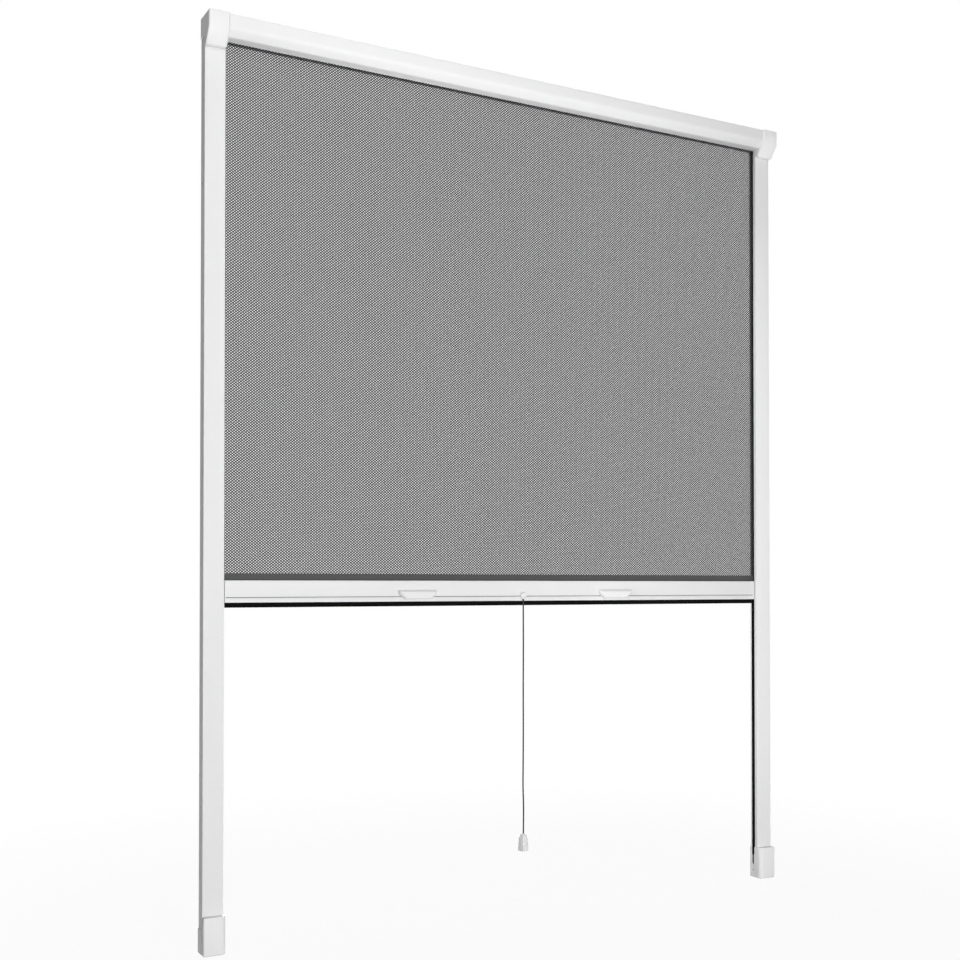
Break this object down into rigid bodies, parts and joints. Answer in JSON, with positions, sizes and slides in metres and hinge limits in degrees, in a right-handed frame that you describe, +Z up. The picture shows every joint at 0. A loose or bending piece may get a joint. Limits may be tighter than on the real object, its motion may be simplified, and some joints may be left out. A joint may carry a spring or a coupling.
{
  "type": "window roller insect screen",
  "caption": "Roller insect screen for a window: cassette with a spring roller and net, side guide rails with brushes, feet, and a pull bar with grips and a cord.",
  "frame": {"origin": "middle of the base: z = 0 at the undersides of the feet, x = 0 halfway between the rails, y = 0 at half the overall depth", "axes": "+Z up along the rails, +X to the right seen from the room, +Y away from the room towards the window"},
  "size_m": [1.25, 0.048, 1.6],
  "materials": {
    "white_aluminium": "satin white powder coat",
    "white_plastic": "satin",
    "black_pile": "matte",
    "net_weave": "matte",
    "hem_band": "matte",
    "mill_aluminium": "satin",
    "grey_plastic": "matte",
    "bright_steel": "satin",
    "cord_braid": "matte"
  },
  "bodies": {
    "frame": {"cassette_profile": "white_aluminium", "left_guide_rail": "white_aluminium", "right_guide_rail": "white_aluminium", "left_end_cap": "white_plastic", "right_end_cap": "white_plastic", "left_rail_foot": "white_plastic", "right_rail_foot": "white_plastic", "left_front_brush": "black_pile", "left_rear_brush": "black_pile", "right_front_brush": "black_pile", "right_rear_brush": "black_pile", "spring_shaft": "bright_steel", "torsion_spring": "bright_steel"},
    "bar": {"bottom_bar": "white_aluminium", "net_hem": "hem_band", "bar_brush": "black_pile", "left_bar_shoe": "white_plastic", "right_bar_shoe": "white_plastic", "left_grip": "white_plastic", "right_grip": "white_plastic", "cord_button": "white_plastic", "pull_cord": "cord_braid", "cord_bell": "white_plastic", "net": "net_weave"},
    "roller": {"roller_tube": "mill_aluminium", "net_roll": "net_weave", "spring_end_plug": "grey_plastic", "idler_plug": "grey_plastic", "spring_carrier": "grey_plastic"}
  },
  "joints": [
    {"name": "bar_slide", "type": "slide", "parent": "frame", "child": "bar", "axis": [0, 0, 1], "range_m": [-0.5855, 0.927], "deforming": ["net"]},
    {"name": "roller_turn", "type": "hinge", "parent": "frame", "child": "roller", "pos_m": [0, 0.00125, 1.5806], "axis": [1, 0, 0], "range_deg": [-2453.7, 3881.9]}
  ],
  "couplings": [
    {"joint": "roller_turn", "follows": "bar_slide", "rad_per_m": 72.993}
  ]
}
